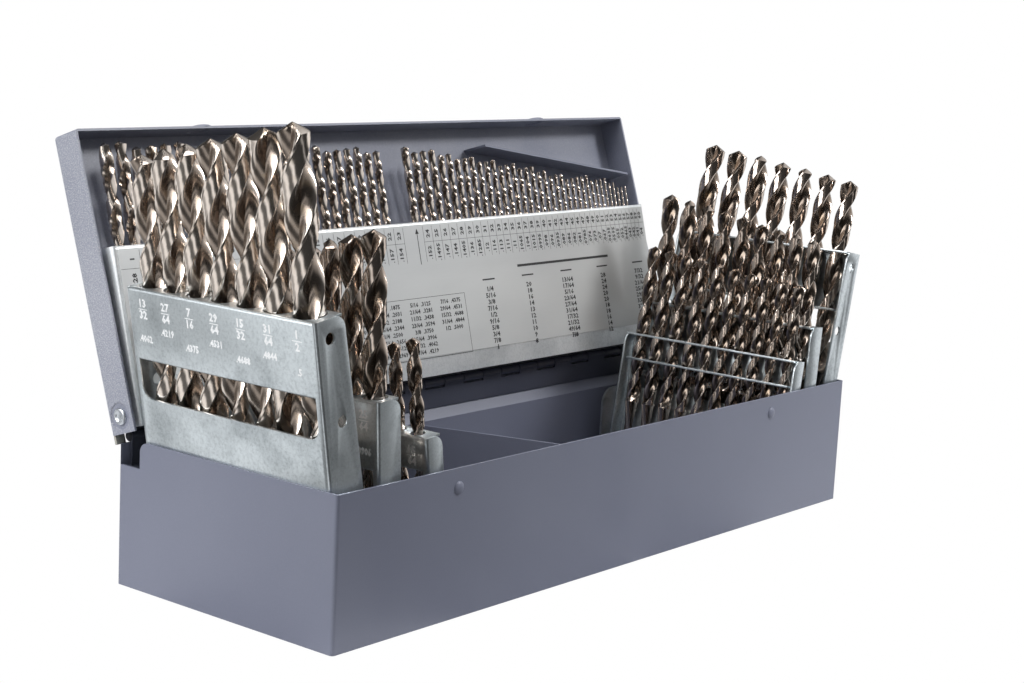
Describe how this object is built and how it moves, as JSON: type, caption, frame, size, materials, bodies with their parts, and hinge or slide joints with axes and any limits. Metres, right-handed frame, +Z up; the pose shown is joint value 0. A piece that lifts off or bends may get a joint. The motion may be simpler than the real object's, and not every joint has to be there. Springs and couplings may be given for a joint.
{
  "type": "drill index case",
  "caption": "Folding steel case for twist drills: drilled zinc leaves fold up at both ends and a long wire-gauge leaf tips inside the hinged lid",
  "frame": {"origin": "middle of the flat underside of the case", "axes": "+X along the case to its right end, +Y from the front to the hinged back, +Z up"},
  "size_m": [0.3981, 0.1619, 0.1936],
  "materials": {
    "painted_sheet": "satin blue-grey enamel",
    "zinc": "bright zinc plate with a faint spangle",
    "bits": "straw-coloured ground high speed steel",
    "size_plate": "silver-grey printed size plate"
  },
  "bodies": {
    "base": {"base_shell": "painted_sheet", "back_liner": "painted_sheet", "centre_divider": "painted_sheet", "left_leaf_bracket": "painted_sheet", "left_leaf_pivots": "zinc", "right_leaf_bracket": "painted_sheet", "right_leaf_pivots": "zinc", "base_hinge_leaf": "painted_sheet", "hinge_pin": "zinc"},
    "lid": {"lid_shell": "painted_sheet", "lid_hinge_leaf": "painted_sheet", "bit_keeper": "painted_sheet", "number_leaf_rivets": "zinc"},
    "number_leaf": {"number_leaf_channel": "zinc", "number_leaf_shelf": "zinc", "number_size_plate": "size_plate", "number_bits": "bits"},
    "left_outer_leaf": {"left_outer_channel": "zinc", "left_outer_bits": "bits"},
    "left_middle_leaf": {"left_middle_channel": "zinc", "left_middle_bits": "bits"},
    "left_inner_leaf": {"left_inner_channel": "zinc", "left_inner_bits": "bits"},
    "right_outer_leaf": {"right_outer_channel": "zinc", "right_outer_bits": "bits"},
    "right_middle_leaf": {"right_middle_channel": "zinc", "right_middle_bits": "bits"},
    "right_inner_leaf": {"right_inner_channel": "zinc", "right_inner_bits": "bits"}
  },
  "joints": [
    {"name": "lid_hinge", "type": "hinge", "parent": "base", "child": "lid", "pos_m": [0, 0.0607, 0.06], "axis": [1, 0, 0], "range_deg": [0, 10]},
    {"name": "number_leaf_tilt", "type": "hinge", "parent": "lid", "child": "number_leaf", "pos_m": [0, 0.05804, 0.06925], "axis": [1, 0, 0], "range_deg": [-4, 5]},
    {"name": "left_outer_fold", "type": "hinge", "parent": "base", "child": "left_outer_leaf", "pos_m": [-0.16994, 0, 0.038], "axis": [0, 1, 0], "range_deg": [0, 99.8]},
    {"name": "left_middle_fold", "type": "hinge", "parent": "base", "child": "left_middle_leaf", "pos_m": [-0.14644, 0, 0.0202], "axis": [0, 1, 0], "range_deg": [0, 93.8]},
    {"name": "left_inner_fold", "type": "hinge", "parent": "base", "child": "left_inner_leaf", "pos_m": [-0.11504, 0, 0.0085], "axis": [0, 1, 0], "range_deg": [0, 98]},
    {"name": "right_outer_fold", "type": "hinge", "parent": "base", "child": "right_outer_leaf", "pos_m": [0.16815, 0, 0.033], "axis": [0, -1, 0], "range_deg": [0, 101.6]},
    {"name": "right_middle_fold", "type": "hinge", "parent": "base", "child": "right_middle_leaf", "pos_m": [0.15125, 0, 0.02], "axis": [0, -1, 0], "range_deg": [0, 94.5]},
    {"name": "right_inner_fold", "type": "hinge", "parent": "base", "child": "right_inner_leaf", "pos_m": [0.13225, 0, 0.009], "axis": [0, -1, 0], "range_deg": [0, 99]}
  ],
  "couplings": [
    {"joint": "left_middle_fold", "follows": "left_outer_fold", "ratio": 0.93987},
    {"joint": "left_inner_fold", "follows": "left_outer_fold", "ratio": 0.98196},
    {"joint": "right_middle_fold", "follows": "right_outer_fold", "ratio": 0.93011},
    {"joint": "right_inner_fold", "follows": "right_outer_fold", "ratio": 0.9744}
  ]
}
